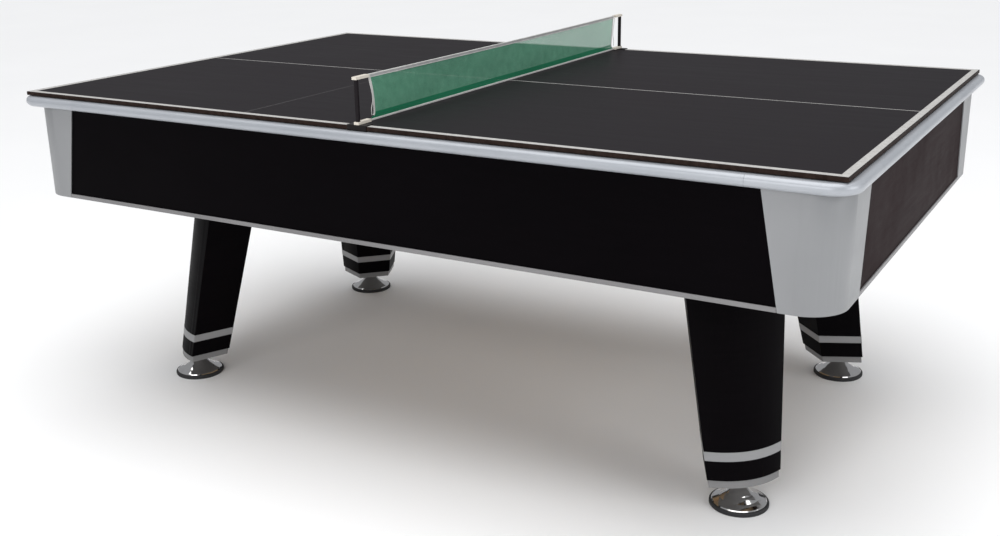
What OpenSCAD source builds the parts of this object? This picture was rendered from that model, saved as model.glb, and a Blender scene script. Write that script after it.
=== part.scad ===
// Pool table on four raked legs, carrying its table-tennis conversion top and net.
// +X runs along the table, -Y is the front, +Z is up. The origin is on the floor, under the
// middle of the table. All sizes are in millimetres.

/* [Overall] */
// Length over the rails
table_l = 2140; // [2000:10:2300]
// Width over the rails
table_w = 1400; // [1370:10:1450]
// Height of the table-tennis surface above the floor
top_h = 826; // [800:1:850]

/* [Conversion top] */
// Thickness of the table-tennis plates
plate_t = 9; // [8:1:12]
// How far the rail stands out beyond the plates
plate_inset = 20; // [14:1:24]
// Thickness of the pads between the plates and the rails
pad_t = 2; // [2:0.5:4]
// Height of the net above the plates
net_h = 105; // [100:1:152]

/* [Rails] */
// Height of the rail and of its half-round nosing
rail_h = 24; // [22:1:28]
// Width of the rail from its outer edge to the cushion
rail_w = 120; // [115:1:125]
// Plan radius of the rail's outer corner
rail_corner_r = 60; // [55:1:75]
// Length of a rail corner piece along each side
corner_piece_l = 202; // [200:1:225]
// How far the cushion stands out from the rail
cushion_w = 45; // [40:1:50]

/* [Cabinet] */
// Depth of the cabinet below the rail
cabinet_h = 234; // [200:1:250]
// How far the apron faces are set in from the rail's outer edge
apron_inset = 25; // [20:1:28]
// Thickness of the apron boards
apron_t = 18; // [15:1:22]
// Plan radius of the cabinet corner
cabinet_corner_r = 80; // [60:1:80]
// Thickness of the corner castings and the bottom trims
casting_t = 3; // [2:0.5:4]
// Height of the bottom trim
trim_h = 10; // [8:1:14]
// Length of a casting on the long side, at its top
casting_side_top = 152; // [120:1:160]
// Length of a casting on the long side, at its bottom
casting_side_bottom = 108; // [90:1:115]
// Length of a casting on the short side, at its top
casting_end_top = 185; // [130:1:195]
// Length of a casting on the short side, at its bottom
casting_end_bottom = 155; // [90:1:160]

/* [Bed and pockets] */
// Drop from the rail's top to the bed board
bed_drop = 49; // [46:1:54]
// Thickness of the bed board
bed_t = 19; // [16:1:25]
// Outer radius of a pocket cup
pocket_r = 56; // [54:1:56]
// Wall thickness of a pocket cup
pocket_wall = 3; // [2:0.5:4]
// Depth of a pocket cup below the rail's top
pocket_depth = 175; // [140:1:185]

/* [Legs] */
// Distance of the foot axes from the middle, along the table
foot_x = 802; // [760:1:840]
// Distance of the foot axes from the middle, across the table
foot_y = 417; // [380:1:440]
// Height of the leg's lower end above the floor
leg_base_h = 61; // [56:1:66]
// Rake of the leg's outer face, in millimetres per millimetre of height
leg_rake = 0.202; // [0.15:0.001:0.22]
// Radius of the rubber foot ring
foot_r = 66; // [50:1:70]
// Radius of the levelling screw
screw_r = 8; // [6:1:8]

/* [Hidden] */
$fn = 64;

// Heights
plate_z = top_h - plate_t;
rail_top = plate_z - pad_t;
rail_z = rail_top - rail_h;
cabinet_z = rail_z - cabinet_h;
bed_top = rail_top - bed_drop;
bed_z = bed_top - bed_t;
cloth_t = 1;
cloth_top = bed_top + cloth_t;

// Half sizes in plan
half_l = table_l / 2;
half_w = table_w / 2;
plate_x = half_l - plate_inset;
plate_y = half_w - plate_inset;
apron_x = half_l - apron_inset;
apron_y = half_w - apron_inset;
corner_x = apron_x - cabinet_corner_r;
corner_y = apron_y - cabinet_corner_r;
field_x = half_l - rail_w;
field_y = half_w - rail_w;
seam_x = half_l - corner_piece_l;
seam_y = half_w - corner_piece_l;

// Rail section, measured inward from the outer edge. The seam is the hairline gap between a
// straight rail and the corner piece next to it.
rail_seam = 0.4;
nosing_r = rail_h / 2;
block_start = apron_inset + apron_t + 2;

// Bed board and its pocket holes
bed_gap = 1;
bed_x = apron_x - apron_t - bed_gap;
bed_y = apron_y - apron_t - bed_gap;
bed_corner_r = 50;
pocket_hole_r = pocket_r + 1;
corner_pocket = [field_x - 18, field_y - 18];
side_pocket = [0, field_y + 17];
pocket_lip_r = pocket_r + 4;
pocket_lip_t = 1.4;

// Cushions: the nose height is above the cloth, the cut-backs are at the pocket mouths
nose_h = 36;
side_mouth_nose = 65;
side_mouth_back = 54.6;
corner_mouth_nose = 83;
corner_mouth_back = 73;

// Bed frame
beam_t = 38;
beam_h = 90;
beam_z = bed_z - beam_h;
leg_plate_t = 18;
leg_plate_size = 300;
leg_top_h = beam_z - leg_plate_t;

// Leg section, in the leg's own frame: u points outward along the diagonal, v across it
section_depth_base = 102;
section_depth_slope = 0.047;
inner_half_base = 50;
inner_half_slope = 0.0567;
side_slope = 0.36;
bulge_ratio = 0.29;
chord_base_u = 21;
arc_steps = 28;
plinth_h = 18;
plinth_inset = 2.5;
band_z = 122;
band_h = 20;
band_t = 0.5;
leg_top_u = chord_base_u - leg_rake * (leg_top_h - leg_base_h)
    - (section_depth_base + section_depth_slope * (leg_top_h - leg_base_h)) / 2;
leg_top_x = foot_x + leg_top_u * cos(45);
leg_top_y = foot_y + leg_top_u * sin(45);
bolt_r = 4;
bolt_l = 66;
bolt_head_r = 8;
bolt_head_h = 5.5;
bolt_offset = 29;
insert_r = 11;
insert_l = 40;
screw_top = 125;
screw_room = 15;
screw_clearance = 0.05;

// Foot
ring_h = 9;
ring_lip = 4.6;
ring_floor = 5;
foot_gap = 0.3;

// Pads under the plates: one list of places for the half with positive X
pad_r = 14;
pad_places = [[250, half_w - 55], [800, half_w - 55], [250, 55 - half_w], [800, 55 - half_w],
    [half_l - 55, 250], [half_l - 55, -250]];

// Net set
seam_gap = 0.5;
clip_w = 50;
clip_t = 2;
clip_tongue_t = 1.5;
clip_gap = 0.3;
jaw_l = 25;
tongue_l = 20;
arm_w = 12;
arm_t = 6;
arm_l = 48;
post_r = 5;
net_t = 2;
arm_z = top_h + clip_gap + clip_t;
net_top = top_h + net_h;
net_half = plate_y + clip_t - arm_l - clip_gap;

// ---------------------------------------------------------------- placing

// Carries a shape drawn in the (+X, +Y) quadrant to the quadrant with the given signs
module in_quadrant(sign_x, sign_y) {
    mirror([sign_x < 0 ? 1 : 0, 0, 0])
        mirror([0, sign_y < 0 ? 1 : 0, 0])
            children();
}

// Repeats a shape drawn in the (+X, +Y) quadrant in all four
module in_all_quadrants() {
    for (sign_x = [-1, 1], sign_y = [-1, 1])
        in_quadrant(sign_x, sign_y) children();
}

// Draws a (Y, Z) outline along X
module along_x(from, to) {
    translate([from, 0, 0]) rotate([90, 0, 90]) linear_extrude(to - from) children();
}

// Draws an (X, Z) outline along Y
module along_y(from, to) {
    translate([0, to, 0]) rotate([90, 0, 0]) linear_extrude(to - from) children();
}

// ---------------------------------------------------------------- cabinet

module side_apron(sign) {
    in_quadrant(1, sign)
        translate([-corner_x, apron_y - apron_t, cabinet_z + casting_t])
            cube([2 * corner_x, apron_t, rail_z - cabinet_z - casting_t]);
}

module end_apron(sign) {
    in_quadrant(sign, 1)
        translate([apron_x - apron_t, -corner_y, cabinet_z + casting_t])
            cube([apron_t, 2 * corner_y, rail_z - cabinet_z - casting_t]);
}

// Quarter ring round the cabinet corner, in plan
module corner_ring(inner_r, outer_r) {
    translate([corner_x, corner_y])
        intersection() {
            difference() {
                circle(outer_r);
                circle(inner_r);
            }
            square(outer_r + 1);
        }
}

// Moulded corner: a thin shell round the corner, with raked side edges and a lip underneath
module corner_casting(sign_x, sign_y) {
    side_top_x = apron_x - casting_side_top;
    side_bottom_x = apron_x - casting_side_bottom;
    end_top_y = apron_y - casting_end_top;
    end_bottom_y = apron_y - casting_end_bottom;
    color([0.56, 0.57, 0.58])
        in_quadrant(sign_x, sign_y)
            union() {
                translate([0, 0, cabinet_z])
                    linear_extrude(cabinet_h)
                        corner_ring(cabinet_corner_r, cabinet_corner_r + casting_t);
                along_y(apron_y, apron_y + casting_t)
                    polygon([[corner_x, cabinet_z], [corner_x, rail_z],
                        [side_top_x, rail_z], [side_bottom_x, cabinet_z]]);
                along_x(apron_x, apron_x + casting_t)
                    polygon([[corner_y, cabinet_z], [corner_y, rail_z],
                        [end_top_y, rail_z], [end_bottom_y, cabinet_z]]);
                translate([0, 0, cabinet_z])
                    linear_extrude(casting_t)
                        union() {
                            corner_ring(cabinet_corner_r - apron_t, cabinet_corner_r);
                            translate([side_bottom_x, apron_y - apron_t])
                                square([corner_x - side_bottom_x, apron_t]);
                            translate([apron_x - apron_t, end_bottom_y])
                                square([apron_t, corner_y - end_bottom_y]);
                        }
            }
}

// L-shaped strip along the lower edge of an apron; face is the outside of the apron
module trim_section(face) {
    union() {
        translate([face, cabinet_z]) square([casting_t, trim_h]);
        translate([face - apron_t, cabinet_z]) square([apron_t + 1, casting_t]);
    }
}

module side_bottom_trims() {
    rake = (casting_side_top - casting_side_bottom) / cabinet_h;
    reach = apron_x - casting_side_bottom - rake * trim_h - 0.1;
    color([0.55, 0.55, 0.56])
        for (sign = [-1, 1])
            in_quadrant(1, sign) along_x(-reach, reach) trim_section(apron_y);
}

module end_bottom_trims() {
    rake = (casting_end_top - casting_end_bottom) / cabinet_h;
    reach = apron_y - casting_end_bottom - rake * trim_h - 0.1;
    color([0.55, 0.55, 0.56])
        for (sign = [-1, 1])
            in_quadrant(sign, 1) along_y(-reach, reach) trim_section(apron_x);
}

// Quarter-round posts inside the cabinet corners, cut away for the pocket cups
module corner_posts() {
    color([0.62, 0.5, 0.36])
        in_all_quadrants()
            difference() {
                translate([0, 0, cabinet_z + casting_t])
                    linear_extrude(bed_z - cabinet_z - casting_t)
                        translate([corner_x, corner_y])
                            intersection() {
                                circle(cabinet_corner_r);
                                square(cabinet_corner_r + 1);
                            }
                translate([corner_pocket.x, corner_pocket.y, cabinet_z])
                    cylinder(r = pocket_hole_r, h = bed_z - cabinet_z + 1);
            }
}

// ---------------------------------------------------------------- rails

// Rail section: x is the distance in from the outer edge, y is the height
module rail_section(reach) {
    union() {
        translate([nosing_r, rail_z + nosing_r]) circle(nosing_r);
        translate([nosing_r, rail_z]) square([reach - nosing_r, rail_h]);
        translate([block_start, cloth_top]) square([reach - block_start, rail_z - cloth_top + 1]);
    }
}

module straight_rail_x(from, to) {
    along_x(from, to) translate([half_w, 0]) mirror([1, 0]) rail_section(rail_w);
}

module straight_rail_y(from, to) {
    along_y(from, to) translate([half_l, 0]) mirror([1, 0]) rail_section(rail_w);
}

module side_rail(sign) {
    notch_h = rail_z - cloth_top + 2;
    color([0.74, 0.76, 0.79])
        in_quadrant(1, sign)
            difference() {
                straight_rail_x(rail_seam - seam_x, seam_x - rail_seam);
                translate([side_pocket.x, side_pocket.y, cloth_top - 1])
                    cylinder(r = pocket_hole_r, h = bed_drop + 2);
                translate([-pocket_hole_r, field_y - 1, cloth_top - 1])
                    cube([2 * pocket_hole_r, rail_w, notch_h - 1]);
            }
}

module end_rail(sign) {
    color([0.74, 0.76, 0.79])
        in_quadrant(sign, 1) straight_rail_y(rail_seam - seam_y, seam_y - rail_seam);
}

module rail_corner(sign_x, sign_y) {
    turn_x = half_l - rail_corner_r;
    turn_y = half_w - rail_corner_r;
    color([0.76, 0.78, 0.81])
        in_quadrant(sign_x, sign_y)
            difference() {
                union() {
                    straight_rail_x(seam_x, turn_x);
                    straight_rail_y(seam_y, turn_y);
                    translate([turn_x, turn_y, 0])
                        rotate_extrude(angle = 90)
                            translate([rail_corner_r, 0])
                                mirror([1, 0]) rail_section(rail_corner_r);
                }
                translate([corner_pocket.x, corner_pocket.y, cloth_top - 1])
                    cylinder(r = pocket_hole_r, h = bed_drop + 2);
            }
}

// ---------------------------------------------------------------- bed

// Rounded rectangle less the four corner holes and the two side notches, in plan
module bed_plan() {
    difference() {
        union() {
            translate([-bed_x, bed_corner_r - bed_y])
                square([2 * bed_x, 2 * (bed_y - bed_corner_r)]);
            translate([bed_corner_r - bed_x, -bed_y])
                square([2 * (bed_x - bed_corner_r), 2 * bed_y]);
            for (x = [-1, 1], y = [-1, 1])
                translate([x * (bed_x - bed_corner_r), y * (bed_y - bed_corner_r)])
                    circle(bed_corner_r);
        }
        for (x = [-1, 1], y = [-1, 1])
            translate([x * corner_pocket.x, y * corner_pocket.y]) circle(pocket_hole_r);
        for (y = [-1, 1]) {
            translate([0, y * side_pocket.y]) circle(pocket_hole_r);
            translate([-pocket_hole_r, y > 0 ? side_pocket.y : -half_w])
                square([2 * pocket_hole_r, half_w - side_pocket.y]);
        }
    }
}

module bed_board() {
    color([0.55, 0.45, 0.33])
        translate([0, 0, bed_z]) linear_extrude(bed_t) bed_plan();
}

module bed_cloth() {
    color([0.1, 0.36, 0.2])
        translate([0, 0, bed_top]) linear_extrude(cloth_t) bed_plan();
}

// Cushion section: x is the distance out from the rail, y is the height
module cushion_section() {
    polygon([[0, cloth_top + 8], [cushion_w - 3, cloth_top + nose_h - 5],
        [cushion_w, cloth_top + nose_h], [cushion_w - 2, cloth_top + nose_h + 3],
        [0, rail_top - 2]]);
}

module side_cushion(sign_x, sign_y) {
    nose_y = field_y - cushion_w;
    nose_end = field_x - cushion_w - corner_mouth_nose;
    back_end = field_x - corner_mouth_back;
    color([0.1, 0.34, 0.19])
        in_quadrant(sign_x, sign_y)
            intersection() {
                along_x(0, field_x) translate([field_y, 0]) mirror([1, 0]) cushion_section();
                translate([0, 0, bed_top])
                    linear_extrude(bed_drop)
                        polygon([[side_mouth_back, field_y], [side_mouth_nose, nose_y],
                            [nose_end, nose_y], [back_end, field_y]]);
            }
}

module end_cushion(sign) {
    nose_x = field_x - cushion_w;
    nose_end = field_y - cushion_w - corner_mouth_nose;
    back_end = field_y - corner_mouth_back;
    color([0.1, 0.34, 0.19])
        in_quadrant(sign, 1)
            intersection() {
                along_y(-field_y, field_y) translate([field_x, 0]) mirror([1, 0]) cushion_section();
                translate([0, 0, bed_top])
                    linear_extrude(bed_drop)
                        polygon([[field_x, -back_end], [nose_x, -nose_end],
                            [nose_x, nose_end], [field_x, back_end]]);
            }
}

// Moulded cup with a rim that lies on the rail and a mouth open towards the field
module pocket_cup() {
    floor_z = rail_top - pocket_depth;
    difference() {
        rotate_extrude()
            polygon([[0, floor_z], [pocket_r, floor_z], [pocket_r, rail_top],
                [pocket_lip_r, rail_top], [pocket_lip_r, rail_top + pocket_lip_t],
                [pocket_r - pocket_wall, rail_top + pocket_lip_t],
                [pocket_r - pocket_wall, floor_z + pocket_wall], [0, floor_z + pocket_wall]]);
        translate([-pocket_lip_r - 20, -pocket_lip_r - 1, cloth_top])
            cube([pocket_lip_r + 14, 2 * pocket_lip_r + 2, bed_drop + 10]);
    }
}

module corner_pockets() {
    color([0.06, 0.06, 0.06])
        in_all_quadrants()
            translate([corner_pocket.x, corner_pocket.y, 0]) rotate([0, 0, 45]) pocket_cup();
}

module side_pockets() {
    color([0.06, 0.06, 0.06])
        for (sign = [-1, 1])
            in_quadrant(1, sign)
                translate([side_pocket.x, side_pocket.y, 0]) rotate([0, 0, 90]) pocket_cup();
}

// ---------------------------------------------------------------- bed frame

module bed_beams() {
    color([0.66, 0.53, 0.37])
        for (sign = [-1, 1])
            translate([-bed_x, sign * leg_top_y - beam_t / 2, beam_z])
                cube([2 * bed_x, beam_t, beam_h]);
}

// The members over the legs reach from apron to apron in three lengths, cut at the beams
module cross_members() {
    inner_l = 2 * leg_top_y - beam_t;
    outer_start = leg_top_y + beam_t / 2;
    color([0.66, 0.53, 0.37]) {
        for (x = [-leg_top_x, 0, leg_top_x])
            translate([x - beam_t / 2, -inner_l / 2, beam_z]) cube([beam_t, inner_l, beam_h]);
        in_all_quadrants()
            translate([leg_top_x - beam_t / 2, outer_start, beam_z])
                cube([beam_t, bed_y - outer_start, beam_h]);
    }
}

// The four bolts round a leg's centre line
module at_leg_bolts() {
    for (x = [-1, 1], y = [-1, 1])
        translate([leg_top_x + x * bolt_offset, leg_top_y + y * bolt_offset, 0]) children();
}

module leg_plates() {
    color([0.5, 0.41, 0.3])
        in_all_quadrants()
            difference() {
                translate([leg_top_x - leg_plate_size / 2, leg_top_y - leg_plate_size / 2, leg_top_h])
                    cube([leg_plate_size, leg_plate_size, leg_plate_t]);
                at_leg_bolts()
                    translate([0, 0, leg_top_h - 1]) cylinder(r = bolt_r, h = leg_plate_t + 2);
            }
}

module leg_bolts() {
    color([0.7, 0.7, 0.72])
        in_all_quadrants()
            at_leg_bolts()
                union() {
                    translate([0, 0, beam_z - bolt_l]) cylinder(r = bolt_r, h = bolt_l + 1);
                    translate([0, 0, beam_z]) cylinder(r = bolt_head_r, h = bolt_head_h);
                }
}

// ---------------------------------------------------------------- legs

// Outline of the leg at height z, grown outward by grow. Its edges keep their directions
// at every height, so all faces of the leg are flat.
function leg_outline(z, grow) =
    let (rise = z - leg_base_h,
        chord_u = chord_base_u - leg_rake * rise,
        depth = section_depth_base + section_depth_slope * rise,
        inner_half = inner_half_base + inner_half_slope * rise,
        outer_half = inner_half + side_slope * depth,
        bulge = bulge_ratio * outer_half)
    concat([[chord_u - depth - grow, inner_half + grow], [chord_u - depth - grow, -inner_half - grow]],
        [for (i = [0 : arc_steps]) let (s = 2 * i / arc_steps - 1)
            [chord_u + bulge * (1 - s * s) + grow, (outer_half + grow) * s]]);

// Solid between the leg outlines at two heights
module leg_slice(from, to, grow) {
    low = leg_outline(from, grow);
    high = leg_outline(to, grow);
    count = len(low);
    polyhedron(
        points = concat([for (p = low) [p.x, p.y, from]], [for (p = high) [p.x, p.y, to]]),
        faces = concat([[for (i = [0 : count - 1]) i]],
            [[for (i = [0 : count - 1]) 2 * count - 1 - i]],
            [for (i = [0 : count - 1]) let (j = (i + 1) % count) [j, i, i + count, j + count]]));
}

// Carries a shape from a leg's own frame to its foot axis
module at_foot() {
    translate([foot_x, foot_y, 0]) rotate([0, 0, 45]) children();
}

module screw_hole() {
    union() {
        translate([0, 0, leg_base_h - 1]) cylinder(r = insert_r, h = insert_l + 1);
        translate([0, 0, leg_base_h]) cylinder(r = screw_r + 1, h = screw_top + screw_room - leg_base_h);
    }
}

module leg(sign_x, sign_y) {
    color([0.05, 0.05, 0.05])
        in_quadrant(sign_x, sign_y)
            difference() {
                at_foot() leg_slice(leg_base_h + plinth_h, leg_top_h, 0);
                translate([foot_x, foot_y, 0]) screw_hole();
                at_leg_bolts()
                    translate([0, 0, beam_z - bolt_l - 2]) cylinder(r = bolt_r, h = bolt_l + 2);
            }
}

module leg_bands() {
    color([0.6, 0.6, 0.62])
        in_all_quadrants()
            at_foot()
                difference() {
                    leg_slice(band_z, band_z + band_h, band_t);
                    leg_slice(band_z - 1, band_z + band_h + 1, 0);
                }
}

module leg_plinths() {
    color([0.42, 0.42, 0.43])
        in_all_quadrants()
            difference() {
                at_foot() leg_slice(leg_base_h, leg_base_h + plinth_h, -plinth_inset);
                translate([foot_x, foot_y, 0]) screw_hole();
            }
}

module foot_inserts() {
    color([0.72, 0.72, 0.7])
        in_all_quadrants()
            translate([foot_x, foot_y, leg_base_h])
                difference() {
                    cylinder(r = insert_r, h = insert_l);
                    translate([0, 0, -1])
                        cylinder(r = screw_r + screw_clearance, h = insert_l + 2);
                }
}

// ---------------------------------------------------------------- levelling feet

// Chrome cone on a screw: a flat rim, a slightly hollow cone, a neck and the screw
module foot_screw(sign_x, sign_y) {
    rim_r = foot_r - ring_lip - foot_gap;
    low_z = ring_floor + foot_gap;
    color([0.85, 0.85, 0.86])
        in_quadrant(sign_x, sign_y)
            translate([foot_x, foot_y, 0])
                rotate_extrude()
                    polygon([[0, low_z], [rim_r, low_z], [rim_r, low_z + 5], [rim_r - 2, low_z + 7],
                        [0.72 * rim_r, 19], [0.48 * rim_r, 29], [0.32 * rim_r, 38], [14, 43],
                        [screw_r, 43], [screw_r, screw_top - 1], [screw_r - 1, screw_top],
                        [0, screw_top]]);
}

module foot_ring(sign_x, sign_y) {
    color([0.04, 0.04, 0.04])
        in_quadrant(sign_x, sign_y)
            translate([foot_x, foot_y, 0])
                rotate_extrude()
                    polygon([[0, 0], [foot_r - 1, 0], [foot_r, 1.5], [foot_r, ring_h - 2],
                        [foot_r - 1.5, ring_h], [foot_r - ring_lip, ring_h],
                        [foot_r - ring_lip, ring_floor], [0, ring_floor]]);
}

// ---------------------------------------------------------------- conversion top

module top_plate(sign) {
    color([0.13, 0.12, 0.14])
        in_quadrant(sign, 1)
            translate([seam_gap / 2, -plate_y, plate_z])
                cube([plate_x - seam_gap / 2, 2 * plate_y, plate_t]);
}

module top_pads(sign) {
    color([0.1, 0.1, 0.1])
        in_quadrant(sign, 1)
            for (place = pad_places)
                translate([place.x, place.y, rail_top]) cylinder(r = pad_r, h = pad_t);
}

// C-shaped spring clip that grips the edges of both plates
module net_clip(sign) {
    back_y = plate_y + clip_gap;
    tongue_z = plate_z - clip_gap - clip_tongue_t;
    jaw_z = top_h + clip_gap;
    color([0.09, 0.08, 0.08])
        in_quadrant(1, sign)
            along_x(-clip_w / 2, clip_w / 2)
                polygon([[back_y - tongue_l, tongue_z], [back_y + clip_t, tongue_z],
                    [back_y + clip_t, jaw_z + clip_t], [back_y - jaw_l, jaw_z + clip_t],
                    [back_y - jaw_l, jaw_z], [back_y, jaw_z],
                    [back_y, tongue_z + clip_tongue_t], [back_y - tongue_l, tongue_z + clip_tongue_t]]);
}

post_y = plate_y - 5;

module net_post(sign) {
    color([0.04, 0.04, 0.04])
        in_quadrant(1, sign)
            translate([0, post_y, arm_z]) cylinder(r = post_r, h = net_top - 2 - arm_z);
}

// Lower and upper arm: the lower one stands on the clip, the upper one caps the post
module net_arms(sign) {
    start_y = plate_y + clip_t - arm_l;
    color([0.83, 0.79, 0.72])
        in_quadrant(1, sign)
            for (z = [arm_z, net_top - arm_t])
                difference() {
                    translate([-arm_w / 2, start_y, z]) cube([arm_w, arm_l, arm_t]);
                    translate([0, post_y, arm_z - 1])
                        cylinder(r = post_r + screw_clearance, h = net_top - 2 - arm_z + 1);
                }
}

module net() {
    color([0.25, 0.48, 0.37])
        translate([-net_t / 2, -net_half, arm_z]) cube([net_t, 2 * net_half, net_top - arm_z]);
}

// ---------------------------------------------------------------- nodes

module front_apron() { color([0.05, 0.05, 0.06]) side_apron(-1); }
module back_apron() { color([0.05, 0.05, 0.06]) side_apron(1); }
module left_apron() { color([0.12, 0.1, 0.1]) end_apron(-1); }
module right_apron() { color([0.12, 0.1, 0.1]) end_apron(1); }

front_apron();
back_apron();
left_apron();
right_apron();
corner_casting(-1, -1);  // corner_casting_fl
corner_casting(1, -1);  // corner_casting_fr
corner_casting(-1, 1);  // corner_casting_bl
corner_casting(1, 1);  // corner_casting_br
side_bottom_trims();
end_bottom_trims();
corner_posts();
side_rail(-1);  // front_rail
side_rail(1);  // back_rail
end_rail(-1);  // left_rail
end_rail(1);  // right_rail
rail_corner(-1, -1);  // rail_corner_fl
rail_corner(1, -1);  // rail_corner_fr
rail_corner(-1, 1);  // rail_corner_bl
rail_corner(1, 1);  // rail_corner_br
bed_board();
bed_cloth();
side_cushion(-1, -1);  // cushion_front_left
side_cushion(1, -1);  // cushion_front_right
side_cushion(-1, 1);  // cushion_back_left
side_cushion(1, 1);  // cushion_back_right
end_cushion(-1);  // cushion_left_end
end_cushion(1);  // cushion_right_end
corner_pockets();
side_pockets();
bed_beams();
cross_members();
leg_plates();
leg_bolts();
leg(-1, -1);  // leg_fl
leg(1, -1);  // leg_fr
leg(-1, 1);  // leg_bl
leg(1, 1);  // leg_br
leg_bands();
leg_plinths();
foot_inserts();
foot_screw(-1, -1);  // foot_screw_fl
foot_screw(1, -1);  // foot_screw_fr
foot_screw(-1, 1);  // foot_screw_bl
foot_screw(1, 1);  // foot_screw_br
foot_ring(-1, -1);  // foot_ring_fl
foot_ring(1, -1);  // foot_ring_fr
foot_ring(-1, 1);  // foot_ring_bl
foot_ring(1, 1);  // foot_ring_br
top_plate(-1);  // left_top_plate
top_plate(1);  // right_top_plate
top_pads(-1);  // left_top_pads
top_pads(1);  // right_top_pads
net_clip(-1);  // near_net_clip
net_post(-1);  // near_net_post
net_arms(-1);  // near_net_arms
net_clip(1);  // far_net_clip
net_post(1);  // far_net_post
net_arms(1);  // far_net_arms
net();
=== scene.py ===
"""Looks of the pool table with its table-tennis conversion top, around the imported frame.

Units are metres, in the row frame: +X along the table, -Y the front, +Z up.
"""
import math

import bmesh
import bpy
from mathutils import Matrix, Vector


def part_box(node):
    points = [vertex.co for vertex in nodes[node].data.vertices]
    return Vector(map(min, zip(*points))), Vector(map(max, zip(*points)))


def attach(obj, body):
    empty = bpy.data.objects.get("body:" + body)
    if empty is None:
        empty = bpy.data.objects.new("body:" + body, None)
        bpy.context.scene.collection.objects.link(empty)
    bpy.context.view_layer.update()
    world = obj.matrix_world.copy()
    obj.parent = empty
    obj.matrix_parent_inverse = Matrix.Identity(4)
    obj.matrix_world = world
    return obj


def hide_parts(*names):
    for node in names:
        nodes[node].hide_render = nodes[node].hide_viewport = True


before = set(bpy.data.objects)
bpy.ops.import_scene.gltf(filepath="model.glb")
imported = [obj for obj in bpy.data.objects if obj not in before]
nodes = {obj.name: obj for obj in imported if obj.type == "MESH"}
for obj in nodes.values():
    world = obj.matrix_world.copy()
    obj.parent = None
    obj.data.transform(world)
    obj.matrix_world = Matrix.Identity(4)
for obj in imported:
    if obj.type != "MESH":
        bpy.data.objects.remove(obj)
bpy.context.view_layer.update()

MM = 0.001
CORNERS = ("fl", "fr", "bl", "br")

# Camera: where it stands, its aim in degrees, and its lens and frame width in millimetres
CAMERA_PLACE = (1.5255, -2.7017, 1.3173)
CAMERA_YAW, CAMERA_PITCH, CAMERA_ROLL = 30.17, 18.0, -0.87
CAMERA_LENS, CAMERA_FRAME = 42.62, 36.0

# Light: the world's strength for everything but the camera, a wide sky panel and three softboxes
AMBIENT = 0.36
SKY_POWER, SKY_SPREAD = 2.0, 70.0
SOFTBOXES = (  # name, place, target, size, power, colour
    ("overhead_softbox", (-0.3, -0.5, 3.4), (0.0, 0.0, 0.8), (4.2, 3.4), 25.0, (1.0, 0.99, 0.97)),
    ("front_softbox", (0.6, -4.6, 2.3), (0.1, 0.0, 0.6), (3.6, 2.2), 75.0, (0.99, 0.99, 1.0)),
    ("right_softbox", (4.4, -0.4, 2.0), (0.9, 0.0, 0.6), (2.4, 2.0), 45.0, (0.98, 0.99, 1.0)))
FLOOR_REACH = 40.0

# Table-tennis paint: how far in from the edge the white line starts and ends, half the centre
# line, the lines' soft edge, and where a faint pale line crosses the left plate
LINE_START, LINE_END = 2.0 * MM, 18.0 * MM
CENTRE_LINE_HALF = 1.6 * MM
LINE_SOFT = 0.5 * MM
HAIRLINE_X = -0.334

# Pockets: their centres, and how far each cushion's nose stops short of its back at the pocket
CORNER_POCKET = (0.932, 0.562)
SIDE_POCKET_Y = 0.597
CORNER_MOUTH = 0.055
SIDE_MOUTH = 0.0104

# Bed cloth: its corner radius, its cut-outs' radius and the depths of the edge turned down in them
CLOTH_CORNER_R = 50 * MM
CLOTH_HOLE_R = 56.6 * MM
CLOTH_TURN_DOWN = (0.6 * MM, 2.5 * MM, 14.0 * MM)

# Cushions, in millimetres. The section is given as distance out from the rail and height above the
# cloth. Each step of a rounded end pulls the section in towards its centre, some way from the end.
CUSHION_SECTION = ((0.0, 8.0), (14.0, 15.7), (28.0, 23.4), (38.5, 29.2), (42.6, 31.9),
                   (44.4, 34.2), (45.0, 36.2), (44.6, 38.0), (43.0, 39.2), (39.0, 40.1),
                   (31.0, 41.8), (20.0, 43.7), (9.0, 45.4), (2.0, 46.0), (0.0, 45.2))
CUSHION_DEPTH = 45.0
CUSHION_HALF = 22.0
CUSHION_STEPS = 48
CUSHION_RIPPLE = 0.3
END_LENGTH = 3.5
END_ROUND = ((3.5, 3.5), (1.6, 2.6), (0.5, 1.5), (0.0, 0.6))  # pull, distance from the last ring

# Net: the sheet's grid, its tapes' steps, the weave's pitch, and the dense band's height and slit
NET_COLUMNS, NET_ROWS = 260, 20
TAPE_STEPS, BINDING_STEPS = 160, 24
MESH_PITCH = 2.4 * MM
BAND_HEIGHT, BAND_SLIT = 17 * MM, 11 * MM

# Ties: diameter, distance off the net's plane, and the strand's way as height share and inset in mm
TIE_D = 0.0016
TIE_X = 2.6 * MM
TIE_STEPS = 5
TIE_WAY = ((0.93, 0.8), (0.8, 4.0), (0.6, 10.5), (0.42, 11.5), (0.26, 6.0), (0.12, 6.5))


# ---------------------------------------------------------------- camera, floor and light

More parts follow.
